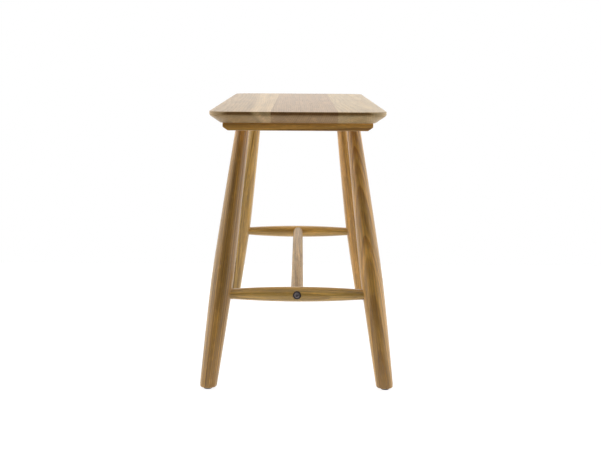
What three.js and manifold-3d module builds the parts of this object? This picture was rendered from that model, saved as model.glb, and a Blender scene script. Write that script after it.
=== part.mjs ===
// An oak bench, in millimetres, +Z up. The origin is on the floor under the middle of the seat.
// X runs across the bench and Y along it. The front end is at -Y and the rear end at +Y.
//
// The seat is glued up from three staves. Under each end is one end frame: a cross batten, two turned legs
// wedged into it, and a turned stretcher between the legs. Bolts hold the battens to the seat, and a bolt
// through each end stretcher holds the long centre stretcher.

import * as THREE from "three";
import { mergeVertices } from "three/addons/utils/BufferGeometryUtils.js";
import Module from "manifold-3d";

const wasm = await Module();
wasm.setup();

// Seat
const SEAT_LENGTH = 900;
const SEAT_WIDTH = 275;
const SEAT_TOP_HEIGHT = 450;
const SEAT_THICKNESS = 18;
const SEAT_CORNER_RADIUS = 30;
const SEAT_BEVEL_HEIGHT = 11.5;
const SEAT_BEVEL_INSET = 17;
const SEAT_NOSE_ROUNDING = 2.6;
const SEAT_TOP_EASING = 1.2;
const STAVE_WIDTH_SHARES = [0.348, 0.377, 0.275];

// Cross battens, one under each end of the seat
const BATTEN_LENGTH = 234;
const BATTEN_WIDTH = 145;
const BATTEN_THICKNESS = 12.5;
const BATTEN_SETBACK = 27;
const BATTEN_CHAMFER_LENGTH = 8;
const BATTEN_CHAMFER_HEIGHT = 5.5;
const BATTEN_EASING = 1;

// Legs
const LEG_TOP_SPACING = 178;
const LEG_SIDE_SPLAY_DEGREES = 7.4;
const LEG_END_SPLAY_DEGREES = 5;
const LEG_TOP_RADIUS = 10.8;
const LEG_SWELL_RADIUS = 17.8;
const LEG_SWELL_HEIGHT = 175;
const LEG_FOOT_RADIUS = 13.6;
const LEG_FOOT_CHAMFER_HEIGHT = 5;
const LEG_FOOT_CHAMFER_INSET = 4;
const LEG_FOOT_TRIM = 1.2;
const LEG_TENON_SETBACK = 0.5;

// Wedge in the top of each leg
const WEDGE_THICKNESS = 2.6;
const WEDGE_TIP_THICKNESS = 1;
const WEDGE_LENGTH = 10;
const WEDGE_EDGE_MARGIN = 1.5;

// Pad nailed under each foot
const PAD_RADIUS = 6.5;
const PAD_THICKNESS = 2.5;
const PAD_EASING = 0.6;
const PAD_NAIL_RADIUS = 1;
const PAD_NAIL_LENGTH = 12;

// End stretchers, one between each pair of legs
const END_STRETCHER_HEIGHT = 153;
const END_STRETCHER_RADIUS = 12.1;
const END_STRETCHER_NECK_RADIUS = 8.2;
const END_STRETCHER_SOCKET_DEPTH = 20;

// Centre stretcher
const CENTRE_STRETCHER_RADIUS = 10.1;
const CENTRE_STRETCHER_ROUNDING = 2.6;
const CENTRE_STRETCHER_SEAT_DEPTH = 2.5;

// Bolt through each end stretcher, and its threaded insert
const FRAME_BOLT_RADIUS = 4;
const FRAME_BOLT_HEAD_RADIUS = 6.5;
const FRAME_BOLT_HEAD_HEIGHT = 5;
const FRAME_BOLT_HEAD_EASING = 0.6;
const FRAME_BOLT_HEAD_RECESS = 2.3;
const FRAME_BOLT_REACH = 20;
const FRAME_BOLT_SOCKET_WIDTH = 5;
const FRAME_BOLT_SOCKET_DEPTH = 3;
const FRAME_INSERT_RADIUS = 6;
const FRAME_INSERT_LENGTH = 18;

// Bolts up through the battens, and their threaded inserts in the seat
const SEAT_BOLT_RADIUS = 3;
const SEAT_BOLT_FLANGE_RADIUS = 6.8;
const SEAT_BOLT_FLANGE_THICKNESS = 0.9;
const SEAT_BOLT_HEAD_RADIUS = 5.25;
const SEAT_BOLT_HEAD_HEIGHT = 3.3;
const SEAT_BOLT_HEAD_RECESS = 3.8;
const SEAT_BOLT_REACH = 7.5;
const SEAT_BOLT_SOCKET_WIDTH = 4;
const SEAT_BOLT_SOCKET_DEPTH = 2;
const SEAT_BOLT_END_MARGIN = 22;
const SEAT_BOLT_SIDE_MARGIN = 22;
const SEAT_BOLT_SLOT_PLAY = 2;
const SEAT_INSERT_RADIUS = 5;
const SEAT_INSERT_LENGTH = 11;

// Fits
const FIT = 0.3;
const INSERT_SETBACK = 0.5;
const HOLE_SPARE_DEPTH = 1.5;
const OVERRUN = 5;

// How finely round work is divided
const LEG_SIDES = 26;
const LEG_RINGS = 7;
const STRETCHER_SIDES = 24;
const STRETCHER_RINGS = 12;
const FASTENER_SIDES = 12;
const CORNER_STEPS = 6;
const ARC_STEPS = 3;
const LEG_TAPER_POWER = 1.25;

// Places that follow from the sizes above
const seatBottom = SEAT_TOP_HEIGHT - SEAT_THICKNESS;
const battenBottom = seatBottom - BATTEN_THICKNESS;
const battenMiddle = SEAT_LENGTH / 2 - BATTEN_SETBACK - BATTEN_WIDTH / 2;
const sideSlope = Math.tan(THREE.MathUtils.degToRad(LEG_SIDE_SPLAY_DEGREES));
const endSlope = Math.tan(THREE.MathUtils.degToRad(LEG_END_SPLAY_DEGREES));
const legDrop = battenBottom - END_STRETCHER_HEIGHT;
const stretcherY = battenMiddle + legDrop * endSlope;
const stretcherSpan = LEG_TOP_SPACING / 2 + legDrop * sideSlope;
const stretcherNeck = stretcherSpan - legRadius(END_STRETCHER_HEIGHT);
const stretcherEnd = stretcherNeck + END_STRETCHER_SOCKET_DEPTH;
const centreStretcherEnd = stretcherY - END_STRETCHER_RADIUS + CENTRE_STRETCHER_SEAT_DEPTH;
const frameBoltShoulder = stretcherY + END_STRETCHER_RADIUS - FRAME_BOLT_HEAD_RECESS - FRAME_BOLT_HEAD_HEIGHT;

// Materials
function paint(color, roughness, metalness = 0) {
  return new THREE.MeshStandardMaterial({ color, roughness, metalness });
}

const seatOaks = [paint(0xd9c7a6, 0.55), paint(0xcfae8e, 0.55), paint(0xd6bf9c, 0.55)];
const frameOak = paint(0xb98a4a, 0.5);
const paleOak = paint(0xc9a478, 0.55);
const wedgeOak = paint(0x9c713b, 0.6);
const blackSteel = paint(0x2a2826, 0.4, 1);
const zincSteel = paint(0xb9bbbd, 0.35, 1);
const brass = paint(0xb08d4a, 0.4, 1);
const padPlastic = paint(0x3a2a1c, 0.7);

// A closed geometry as a solid that can be cut
function solidOf(geometry) {
  const bare = geometry.clone();
  bare.deleteAttribute("normal");
  bare.deleteAttribute("uv");
  const merged = mergeVertices(bare);
  const vertProperties = merged.getAttribute("position").array;
  const triVerts = new Uint32Array(merged.index.array);
  return new wasm.Manifold(new wasm.Mesh({ numProp: 3, vertProperties, triVerts }));
}

function geometryOf(solid) {
  const { vertProperties, triVerts } = solid.getMesh();
  const geometry = new THREE.BufferGeometry();
  geometry.setAttribute("position", new THREE.BufferAttribute(vertProperties, 3));
  geometry.setIndex(new THREE.BufferAttribute(triVerts, 1));
  geometry.computeVertexNormals();
  return geometry;
}

// What is left of a body once every tool has been cut away from it
function cut(body, ...tools) {
  return geometryOf(tools.reduce((rest, tool) => rest.subtract(solidOf(tool)), solidOf(body)));
}

// The part of a body that lies inside another
function within(body, bounds) {
  return geometryOf(solidOf(body).intersect(solidOf(bounds)));
}

function boxBetween(low, high) {
  const box = new THREE.Box3(new THREE.Vector3(...low), new THREE.Vector3(...high));
  const size = box.getSize(new THREE.Vector3());
  const middle = box.getCenter(new THREE.Vector3());
  return new THREE.BoxGeometry(size.x, size.y, size.z).translate(middle.x, middle.y, middle.z);
}

// A body of revolution about Z, from a profile of [radius, height] pairs that runs upwards
function turned(profile, sides) {
  const points = profile.map(([radius, height]) => new THREE.Vector2(radius, height));
  return new THREE.LatheGeometry(points, sides).rotateX(Math.PI / 2);
}

function rod(radius, low, high, sides = FASTENER_SIDES) {
  return turned([[0, low], [radius, low], [radius, high], [0, high]], sides);
}

// Turns what stands along Z so that it lies along Y
function alongY(geometry) {
  return geometry.rotateX(-Math.PI / 2);
}

// Turns what stands along Z so that it lies along X
function alongX(geometry) {
  return geometry.rotateY(Math.PI / 2);
}

function hexagon(acrossFlats, low, high) {
  const cornerRadius = acrossFlats / Math.sqrt(3);
  return turned([[0, low], [cornerRadius, low], [cornerRadius, high], [0, high]], 6);
}

function named(name, geometry, material) {
  const mesh = new THREE.Mesh(geometry, material);
  mesh.name = name;
  return mesh;
}

// Seat: a board with rounded corners, eased at the top and bevelled underneath. The edge profile is carried
// round the board's outline, ring by ring, from the underside up.

function boardOutline(inset, z) {
  const halfWidth = SEAT_WIDTH / 2 - inset;
  const halfLength = SEAT_LENGTH / 2 - inset;
  const radius = SEAT_CORNER_RADIUS - inset;
  const ring = [];
  for (const [signX, signY, start] of [[1, 1, 0], [-1, 1, 1], [-1, -1, 2], [1, -1, 3]]) {
    for (let step = 0; step <= CORNER_STEPS; step++) {
      const angle = ((start + step / CORNER_STEPS) * Math.PI) / 2;
      const x = signX * (halfWidth - radius) + radius * Math.cos(angle);
      const y = signY * (halfLength - radius) + radius * Math.sin(angle);
      ring.push([x, y, z]);
    }
  }
  return ring;
}

// The seat's edge from underside to top, as distances in from the outline and heights
function edgeProfile() {
  const slant = Math.hypot(SEAT_BEVEL_INSET, SEAT_BEVEL_HEIGHT);
  const roundingShare = SEAT_NOSE_ROUNDING / slant;
  const path = new THREE.Path();
  path.moveTo(SEAT_BEVEL_INSET, 0);
  path.lineTo(SEAT_BEVEL_INSET * roundingShare, SEAT_BEVEL_HEIGHT * (1 - roundingShare));
  path.quadraticCurveTo(0, SEAT_BEVEL_HEIGHT, 0, SEAT_BEVEL_HEIGHT + SEAT_NOSE_ROUNDING);
  path.lineTo(0, SEAT_THICKNESS - SEAT_TOP_EASING);
  path.quadraticCurveTo(0, SEAT_THICKNESS, SEAT_TOP_EASING, SEAT_THICKNESS);
  return path.getPoints(ARC_STEPS);
}

function seatBoard() {
  const rings = edgeProfile().map((point) => boardOutline(point.x, point.y));
  const count = rings[0].length;
  const index = [];
  for (let row = 0; row < rings.length - 1; row++) {
    for (let i = 0; i < count; i++) {
      const a = row * count + i;
      const b = row * count + ((i + 1) % count);
      index.push(a, b, a + count, b, b + count, a + count);
    }
  }
  const topRow = (rings.length - 1) * count;
  for (let i = 1; i < count - 1; i++) {
    index.push(0, i + 1, i);
    index.push(topRow, topRow + i, topRow + i + 1);
  }
  const geometry = new THREE.BufferGeometry();
  geometry.setAttribute("position", new THREE.Float32BufferAttribute(rings.flat(2), 3));
  geometry.setIndex(index);
  return geometry;
}

// Where the bolts go up through a batten, from the batten's middle: one fixed in the middle, four in slots
// that run across the bench, so that the seat can swell and shrink. Their heads are sunk into its underside.
function boltPlaces() {
  const x = BATTEN_LENGTH / 2 - SEAT_BOLT_END_MARGIN;
  const y = BATTEN_WIDTH / 2 - SEAT_BOLT_SIDE_MARGIN;
  return [
    { name: "middle", x: 0, y: 0, play: 0 },
    { name: "outer_left", x: -x, y, play: SEAT_BOLT_SLOT_PLAY },
    { name: "outer_right", x, y, play: SEAT_BOLT_SLOT_PLAY },
    { name: "inner_left", x: -x, y: -y, play: SEAT_BOLT_SLOT_PLAY },
    { name: "inner_right", x, y: -y, play: SEAT_BOLT_SLOT_PLAY },
  ];
}

// The two ends of the bench. Outward is the sign of Y towards that end.
const ENDS = [
  { name: "front", outward: -1 },
  { name: "rear", outward: 1 },
];

function insertHoles() {
  const depth = INSERT_SETBACK + SEAT_INSERT_LENGTH + HOLE_SPARE_DEPTH;
  return ENDS.flatMap(({ outward }) =>
    boltPlaces().map(({ x, y }) =>
      rod(SEAT_INSERT_RADIUS + FIT, -OVERRUN, depth).translate(x, outward * (battenMiddle + y), 0),
    ),
  );
}

function threadedInsert(radius, length, boltRadius) {
  const bore = boltRadius + FIT;
  return turned([[bore, 0], [radius, 0], [radius, length], [bore, length], [bore, 0]], FASTENER_SIDES);
}

function makeSeat() {
  const seat = new THREE.Group();
  seat.position.z = seatBottom;
  const board = cut(seatBoard(), ...insertHoles());
  let left = -SEAT_WIDTH / 2;
  STAVE_WIDTH_SHARES.forEach((share, i) => {
    const right = left + share * SEAT_WIDTH;
    const low = [i === 0 ? left - OVERRUN : left, -SEAT_LENGTH / 2 - OVERRUN, -OVERRUN];
    const last = i === STAVE_WIDTH_SHARES.length - 1;
    const high = [last ? right + OVERRUN : right, SEAT_LENGTH / 2 + OVERRUN, SEAT_THICKNESS + OVERRUN];
    seat.add(named(`seat_stave_${i + 1}`, within(board, boxBetween(low, high)), seatOaks[i]));
    left = right;
  });
  for (const { name: end, outward } of ENDS) {
    for (const { name, x, y } of boltPlaces()) {
      const body = threadedInsert(SEAT_INSERT_RADIUS, SEAT_INSERT_LENGTH, SEAT_BOLT_RADIUS);
      const insert = named(`${end}_seat_insert_${name}`, body, brass);
      insert.position.set(x, outward * (battenMiddle + y), INSERT_SETBACK);
      seat.add(insert);
    }
  }
  return seat;
}

// Legs. A leg is turned about its own axis, which the leg's group carries: its origin is where the axis meets
// the floor and its Z runs up the axis. An end frame is drawn with Y outward.

function legRadius(height) {
  const above = height > LEG_SWELL_HEIGHT;
  const endRadius = above ? LEG_TOP_RADIUS : LEG_FOOT_RADIUS;
  const reach = above ? battenBottom - LEG_SWELL_HEIGHT : LEG_SWELL_HEIGHT;
  const share = Math.min(Math.abs(height - LEG_SWELL_HEIGHT) / reach, 1);
  return LEG_SWELL_RADIUS - (LEG_SWELL_RADIUS - endRadius) * share ** LEG_TAPER_POWER;
}

function legProfile(stretch) {
  const end = PAD_THICKNESS + FIT - LEG_FOOT_TRIM;
  const shoulder = end + LEG_FOOT_CHAMFER_HEIGHT;
  const profile = [[0, end], [legRadius(end) - LEG_FOOT_CHAMFER_INSET, end]];
  for (const [low, high] of [[shoulder, LEG_SWELL_HEIGHT], [LEG_SWELL_HEIGHT, battenBottom]]) {
    for (let ring = 0; ring < LEG_RINGS; ring++) {
      const height = low + ((high - low) * ring) / LEG_RINGS;
      profile.push([legRadius(height), height * stretch]);
    }
  }
  const top = (seatBottom + OVERRUN) * stretch;
  profile.push([LEG_TOP_RADIUS, battenBottom * stretch], [LEG_TOP_RADIUS, top], [0, top]);
  return profile;
}

function legGroup(side) {
  const up = new THREE.Vector3(-side * sideSlope, -endSlope, 1).normalize();
  const group = new THREE.Group();
  group.position.set(
    side * (LEG_TOP_SPACING / 2 + battenBottom * sideSlope),
    battenMiddle + battenBottom * endSlope,
    0,
  );
  group.quaternion.setFromUnitVectors(new THREE.Vector3(0, 0, 1), up);
  group.updateMatrix();
  return { group, stretch: 1 / up.z };
}

// A wedge for the tenon, grown by a clearance, in the leg's own frame, with its thin edge down
function wedgeBody(stretch, growth) {
  const top = seatBottom * stretch + OVERRUN;
  const tip = (seatBottom - LEG_TENON_SETBACK) * stretch - WEDGE_LENGTH;
  const slope = (WEDGE_THICKNESS - WEDGE_TIP_THICKNESS) / WEDGE_LENGTH;
  const tipHalf = WEDGE_TIP_THICKNESS / 2 + growth;
  const topHalf = tipHalf + ((top - tip) * slope) / 2;
  const shape = new THREE.Shape();
  shape.moveTo(-tipHalf, tip - growth);
  shape.lineTo(tipHalf, tip - growth);
  shape.lineTo(topHalf, top);
  shape.lineTo(-topHalf, top);
  const halfWidth = growth > 0 ? LEG_TOP_RADIUS + OVERRUN : LEG_TOP_RADIUS - WEDGE_EDGE_MARGIN;
  const options = { depth: 2 * halfWidth, bevelEnabled: false };
  return new THREE.ExtrudeGeometry(shape, options).rotateX(Math.PI / 2).translate(0, halfWidth, 0);
}

// All that lies between the floor plane of the foot and the level cut at the top of the tenon
function levelTrim() {
  const reach = SEAT_LENGTH / 2 + SEAT_WIDTH;
  const low = PAD_THICKNESS + FIT;
  const high = seatBottom - LEG_TENON_SETBACK;
  return boxBetween([-reach, -reach, low], [reach, reach, high]);
}

function makeLeg(side, legName) {
  const { group, stretch } = legGroup(side);
  const intoLeg = group.matrix.clone().invert();
  const trim = levelTrim().applyMatrix4(intoLeg);
  const socket = endStretcherBody(FIT).applyMatrix4(intoLeg);
  const foot = group.position;
  const nailHole = rod(PAD_NAIL_RADIUS + FIT, 0, PAD_THICKNESS + PAD_NAIL_LENGTH + HOLE_SPARE_DEPTH)
    .translate(foot.x, foot.y, 0)
    .applyMatrix4(intoLeg);
  const blank = within(turned(legProfile(stretch), LEG_SIDES), trim);
  const leg = cut(blank, socket, nailHole, wedgeBody(stretch, FIT));
  group.add(named(`${legName}_leg`, leg, frameOak));
  group.add(named(`${legName}_leg_wedge`, within(wedgeBody(stretch, 0), trim), wedgeOak));
  return group;
}

function makePad(side, legName) {
  const nailTop = PAD_THICKNESS + PAD_NAIL_LENGTH;
  const profile = [
    [0, 0],
    [PAD_RADIUS - PAD_EASING, 0],
    [PAD_RADIUS, PAD_EASING],
    [PAD_RADIUS, PAD_THICKNESS],
    [PAD_NAIL_RADIUS, PAD_THICKNESS],
    [PAD_NAIL_RADIUS, nailTop - PAD_NAIL_RADIUS],
    [0, nailTop],
  ];
  const pad = named(`${legName}_foot_pad`, turned(profile, FASTENER_SIDES), padPlastic);
  pad.position.copy(legGroup(side).group.position);
  return pad;
}

// Batten: its outline across the bench has the lower corners cut off, and its two long faces are eased
function makeBatten(name) {
  const half = BATTEN_LENGTH / 2;
  const shape = new THREE.Shape();
  shape.moveTo(-half + BATTEN_CHAMFER_LENGTH, 0);
  shape.lineTo(half - BATTEN_CHAMFER_LENGTH, 0);
  shape.lineTo(half, BATTEN_CHAMFER_HEIGHT);
  shape.lineTo(half, BATTEN_THICKNESS);
  shape.lineTo(-half, BATTEN_THICKNESS);
  shape.lineTo(-half, BATTEN_CHAMFER_HEIGHT);
  const body = new THREE.ExtrudeGeometry(shape, {
    depth: BATTEN_WIDTH - 2 * BATTEN_EASING,
    bevelThickness: BATTEN_EASING,
    bevelSize: BATTEN_EASING,
    bevelOffset: -BATTEN_EASING,
    bevelSegments: 2,
  });
  body.rotateX(Math.PI / 2).translate(0, battenMiddle + BATTEN_WIDTH / 2 - BATTEN_EASING, battenBottom);
  const legHoles = [-1, 1].map((side) => {
    const { group, stretch } = legGroup(side);
    const low = (battenBottom - OVERRUN) * stretch;
    const high = (seatBottom + OVERRUN) * stretch;
    return rod(LEG_TOP_RADIUS + FIT, low, high, LEG_SIDES).applyMatrix4(group.matrix);
  });
  const boltHoles = boltPlaces().flatMap((place) => [
    boltSlot(place, SEAT_BOLT_RADIUS + FIT, BATTEN_THICKNESS + OVERRUN),
    boltSlot(place, SEAT_BOLT_FLANGE_RADIUS + FIT, SEAT_BOLT_HEAD_RECESS),
  ]);
  return named(name, cut(body, ...legHoles, ...boltHoles), frameOak);
}

// A round hole for a bolt's shank or for its head, drawn out along X into a slot where the place has play. It
// is cut from below, to a depth above the batten's underside.
function boltSlot({ x, y, play }, radius, depth) {
  const shape = new THREE.Shape();
  shape.absarc(play, 0, radius, -Math.PI / 2, Math.PI / 2);
  shape.absarc(-play, 0, radius, Math.PI / 2, (Math.PI * 3) / 2);
  const options = { depth: OVERRUN + depth, bevelEnabled: false, curveSegments: FASTENER_SIDES / 2 };
  return new THREE.ExtrudeGeometry(shape, options).translate(x, battenMiddle + y, battenBottom - OVERRUN);
}

// Bolt with a flanged button head, standing on its head: the shank starts at Z = 0 and runs up
function seatBolt() {
  const crown = SEAT_BOLT_HEAD_RADIUS - SEAT_BOLT_HEAD_HEIGHT / 2;
  const tip = BATTEN_THICKNESS - SEAT_BOLT_HEAD_RECESS + SEAT_BOLT_REACH;
  const body = turned(
    [
      [0, -SEAT_BOLT_HEAD_HEIGHT],
      [crown, -SEAT_BOLT_HEAD_HEIGHT],
      [SEAT_BOLT_HEAD_RADIUS, -SEAT_BOLT_FLANGE_THICKNESS],
      [SEAT_BOLT_FLANGE_RADIUS, -SEAT_BOLT_FLANGE_THICKNESS],
      [SEAT_BOLT_FLANGE_RADIUS, 0],
      [SEAT_BOLT_RADIUS, 0],
      [SEAT_BOLT_RADIUS, tip],
      [0, tip],
    ],
    FASTENER_SIDES,
  );
  const bottom = -SEAT_BOLT_HEAD_HEIGHT;
  return cut(body, hexagon(SEAT_BOLT_SOCKET_WIDTH, bottom - OVERRUN, bottom + SEAT_BOLT_SOCKET_DEPTH));
}

// End stretcher: a cigar that narrows to its neck where it enters the leg and goes on narrowing into the socket

function endStretcherBody(growth) {
  const profile = [[0, -stretcherEnd - growth]];
  for (let ring = 0; ring <= STRETCHER_RINGS; ring++) {
    const x = stretcherEnd * ((2 * ring) / STRETCHER_RINGS - 1);
    const narrowing = (END_STRETCHER_RADIUS - END_STRETCHER_NECK_RADIUS) * (x / stretcherNeck) ** 2;
    const radius = END_STRETCHER_RADIUS - narrowing + growth;
    const atEnd = ring === 0 || ring === STRETCHER_RINGS;
    profile.push([radius, atEnd ? x + Math.sign(x) * growth : x]);
  }
  profile.push([0, stretcherEnd + growth]);
  return alongX(turned(profile, STRETCHER_SIDES)).translate(0, stretcherY, END_STRETCHER_HEIGHT);
}

function makeEndStretcher(name) {
  const shoulder = frameBoltShoulder - stretcherY;
  const tools = [
    rod(CENTRE_STRETCHER_RADIUS + FIT, -END_STRETCHER_RADIUS - OVERRUN, centreStretcherEnd - stretcherY, STRETCHER_SIDES),
    rod(FRAME_BOLT_RADIUS + FIT, -END_STRETCHER_RADIUS - OVERRUN, END_STRETCHER_RADIUS + OVERRUN),
    rod(FRAME_BOLT_HEAD_RADIUS + FIT, shoulder, END_STRETCHER_RADIUS + OVERRUN, STRETCHER_SIDES),
  ].map((tool) => alongY(tool).translate(0, stretcherY, END_STRETCHER_HEIGHT));
  return named(name, cut(endStretcherBody(0), ...tools), frameOak);
}

// Low-head socket screw that lies along Y: its shoulder bears in the end stretcher, its shank points inward
function makeFrameBolt(name) {
  const tip = centreStretcherEnd - FRAME_BOLT_REACH - frameBoltShoulder;
  const top = FRAME_BOLT_HEAD_HEIGHT;
  const body = turned(
    [
      [0, tip],
      [FRAME_BOLT_RADIUS, tip],
      [FRAME_BOLT_RADIUS, 0],
      [FRAME_BOLT_HEAD_RADIUS, 0],
      [FRAME_BOLT_HEAD_RADIUS, top - FRAME_BOLT_HEAD_EASING],
      [FRAME_BOLT_HEAD_RADIUS - FRAME_BOLT_HEAD_EASING, top],
      [0, top],
    ],
    STRETCHER_SIDES,
  );
  const socket = hexagon(FRAME_BOLT_SOCKET_WIDTH, top - FRAME_BOLT_SOCKET_DEPTH, top + OVERRUN);
  const bolt = named(name, alongY(cut(body, socket)), blackSteel);
  bolt.position.set(0, frameBoltShoulder, END_STRETCHER_HEIGHT);
  return bolt;
}

// One end frame, with Y outward. The front frame is the rear one turned half round, so its left is the
// other way round.
function makeEndFrame(endName, outward) {
  const frame = new THREE.Group();
  frame.rotation.z = outward > 0 ? 0 : Math.PI;
  frame.add(makeBatten(`${endName}_batten`));
  frame.add(makeEndStretcher(`${endName}_end_stretcher`));
  frame.add(makeFrameBolt(`${endName}_stretcher_bolt`));
  for (const side of [-1, 1]) {
    const legName = `${endName}_${side * outward < 0 ? "left" : "right"}`;
    frame.add(makeLeg(side, legName));
    frame.add(makePad(side, legName));
  }
  for (const { name, x, y } of boltPlaces()) {
    const bolt = named(`${endName}_seat_bolt_${name}`, seatBolt(), zincSteel);
    bolt.position.set(outward * x, battenMiddle + y, battenBottom + SEAT_BOLT_HEAD_RECESS);
    frame.add(bolt);
  }
  return frame;
}

// Centre stretcher: a plain round bar with rounded ends, and a hole in each end for the insert
function makeCentreStretcher() {
  const group = new THREE.Group();
  group.position.z = END_STRETCHER_HEIGHT;
  const end = centreStretcherEnd;
  const round = CENTRE_STRETCHER_ROUNDING;
  const path = new THREE.Path();
  path.moveTo(0, -end);
  path.lineTo(CENTRE_STRETCHER_RADIUS - round, -end);
  path.quadraticCurveTo(CENTRE_STRETCHER_RADIUS, -end, CENTRE_STRETCHER_RADIUS, -end + round);
  path.lineTo(CENTRE_STRETCHER_RADIUS, end - round);
  path.quadraticCurveTo(CENTRE_STRETCHER_RADIUS, end, CENTRE_STRETCHER_RADIUS - round, end);
  path.lineTo(0, end);
  const profile = path.getPoints(ARC_STEPS).map((point) => [point.x, point.y]);
  const depth = FRAME_BOLT_REACH + INSERT_SETBACK + HOLE_SPARE_DEPTH;
  const holes = [-1, 1].map((outward) => {
    const hole = rod(FRAME_INSERT_RADIUS + FIT, end - depth, end + OVERRUN);
    return outward > 0 ? alongY(hole) : alongY(hole).rotateZ(Math.PI);
  });
  const bar = alongY(turned(profile, STRETCHER_SIDES));
  group.add(named("centre_stretcher", cut(bar, ...holes), paleOak));
  for (const { name, outward } of ENDS) {
    const body = alongY(threadedInsert(FRAME_INSERT_RADIUS, FRAME_INSERT_LENGTH, FRAME_BOLT_RADIUS));
    const insert = named(`${name}_stretcher_insert`, body, brass);
    const inner = end - INSERT_SETBACK - FRAME_INSERT_LENGTH;
    insert.position.y = outward > 0 ? inner : -end + INSERT_SETBACK;
    group.add(insert);
  }
  return group;
}

const bench = new THREE.Group();
bench.add(makeSeat());
bench.add(makeCentreStretcher());
for (const { name, outward } of ENDS) {
  bench.add(makeEndFrame(name, outward));
}

export default bench;
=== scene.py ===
# %% [markdown]
# # A small oak bench
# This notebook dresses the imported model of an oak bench. The model gives the exact place of every piece, and
# each piece that shows is built again here with a finer surface. It is then finished as oiled or lacquered
# oak, blackened or zinc-plated steel, or moulded plastic. Lengths are in metres, as Blender has them, and
# MM turns millimetres into metres. Only places in a log, and the sizes of its figure, are plain
# millimetres.

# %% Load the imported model
import math

import bmesh
import bpy
from mathutils import Matrix, Vector


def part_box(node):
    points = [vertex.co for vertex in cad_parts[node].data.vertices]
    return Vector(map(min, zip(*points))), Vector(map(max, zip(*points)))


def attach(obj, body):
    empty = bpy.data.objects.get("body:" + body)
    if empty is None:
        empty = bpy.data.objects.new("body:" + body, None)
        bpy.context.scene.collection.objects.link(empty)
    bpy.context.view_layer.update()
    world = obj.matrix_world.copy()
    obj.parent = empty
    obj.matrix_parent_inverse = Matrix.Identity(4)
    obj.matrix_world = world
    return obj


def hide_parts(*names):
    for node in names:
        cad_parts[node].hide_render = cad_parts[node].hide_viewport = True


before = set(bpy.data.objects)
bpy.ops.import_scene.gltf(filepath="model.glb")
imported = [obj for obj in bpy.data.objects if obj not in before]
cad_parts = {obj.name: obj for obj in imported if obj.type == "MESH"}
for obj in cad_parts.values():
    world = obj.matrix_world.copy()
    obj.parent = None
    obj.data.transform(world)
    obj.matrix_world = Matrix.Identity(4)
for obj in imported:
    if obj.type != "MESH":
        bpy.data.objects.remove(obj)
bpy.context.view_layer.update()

MM = 0.001

# %% [markdown]
# ## The camera
# The photograph looks along the bench from just above its near end, with a long lens from about two metres.
# A camera could be placed by eye, but every edge would then be a little off. So the distance, height and
# angles below were worked out from the edges of the seat, legs and stretchers. The camera turns about the
# vertical first, then tips down, then rolls about its own line of sight, and three matrices in that order
# say the same.

# %% Camera
IMAGE_WIDTH = 601
FOCAL_PIXELS = 1302
SENSOR_WIDTH = 36
QUARTER_TURN = math.pi / 2
CAMERA_PLACE = Vector((0.0040, -2.4447, 0.5400))
CAMERA_TURN = math.radians(-0.028)
CAMERA_TIP = math.radians(7.567)
CAMERA_ROLL = math.radians(0.34)

camera_data = bpy.data.cameras.new("camera")
camera_data.sensor_width = SENSOR_WIDTH
camera_data.lens = FOCAL_PIXELS / IMAGE_WIDTH * SENSOR_WIDTH
camera = bpy.data.objects.new("camera", camera_data)
camera.matrix_world = (
    Matrix.Translation(CAMERA_PLACE)
    @ Matrix.Rotation(CAMERA_TURN, 4, "Z")
    @ Matrix.Rotation(QUARTER_TURN - CAMERA_TIP, 4, "X")
    @ Matrix.Rotation(CAMERA_ROLL, 4, "Z")
)
bpy.context.scene.collection.objects.link(camera)
bpy.context.scene.camera = camera
bpy.context.scene.view_settings.view_transform = "Standard"
print("lens", round(camera_data.lens, 2), "mm")

# %% [markdown]
# ## Nodes and colours
# Every material below is a small network of nodes. Each node could be made, set and linked in lines of its
# own, but one function that does all three keeps a network short enough to read. It sets the node's own
# settings, fills its open inputs in their order or by name, and links a value that is itself a socket. What
# it gives back is the first open output, or the one that `out` names. Colours are written as the hex values
# that a picture editor shows, and one function turns them into the linear light that the renderer works in.

# %% Node helper and colour helper
def add(tree, kind, *values, named=None, out=None, **settings):
    made = tree.nodes.new(kind)
    for setting, value in settings.items():
        setattr(made, setting, value)
    inputs = [socket for socket in made.inputs if socket.enabled]
    filled = list(zip(inputs, values))
    for name, value in (named or {}).items():
        filled.append((next(socket for socket in inputs if socket.name == name), value))
    for socket, value in filled:
        if isinstance(value, bpy.types.NodeSocket):
            tree.links.new(value, socket)
        else:
            socket.default_value = value
    results = [socket for socket in made.outputs if socket.enabled and out in (None, socket.name)]
    return results[0] if results else None


def linear(hex_colour):
    # The sRGB standard's own curve: a straight line near black and a power above it
    channels = [int(hex_colour[i : i + 2], 16) / 255 for i in (1, 3, 5)]
    light = [c / 12.92 if c <= 0.04045 else ((c + 0.055) / 1.055) ** 2.4 for c in channels]
    return (*light, 1.0)


def new_material(name):
    material = bpy.data.materials.new(name)
    material.use_nodes = True
    material.node_tree.nodes.clear()
    return material, material.node_tree


def finish_material(material, shader):
    tree = material.node_tree
    add(tree, "ShaderNodeOutputMaterial", shader)
    print("material", material.name, "with", len(tree.nodes), "nodes")
    return material


# %% [markdown]
# ## Studio
# The bench is lit softly and evenly, as in a tent of white cloth with its opening at the camera. Light comes
# from behind, from below, from above and most of all from the two side walls, and little from the opening.
# A row of area lamps could do it, but their edges would show in the lacquer from some sides, so the world
# itself is the tent. Its light grows from the opening to the back wall, and surfaces that shine mirror the
# opening as a dark patch, which gives the ends of the bench their depth. The camera itself sees plain white.

# %% World of light
# How bright the walls are, where 1 is white, and how bright they look in what shines
BACK_LEVEL = 1.4
SIDE_LEVEL = 1.9
MIRRORED_LEVEL = 1.3
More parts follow.
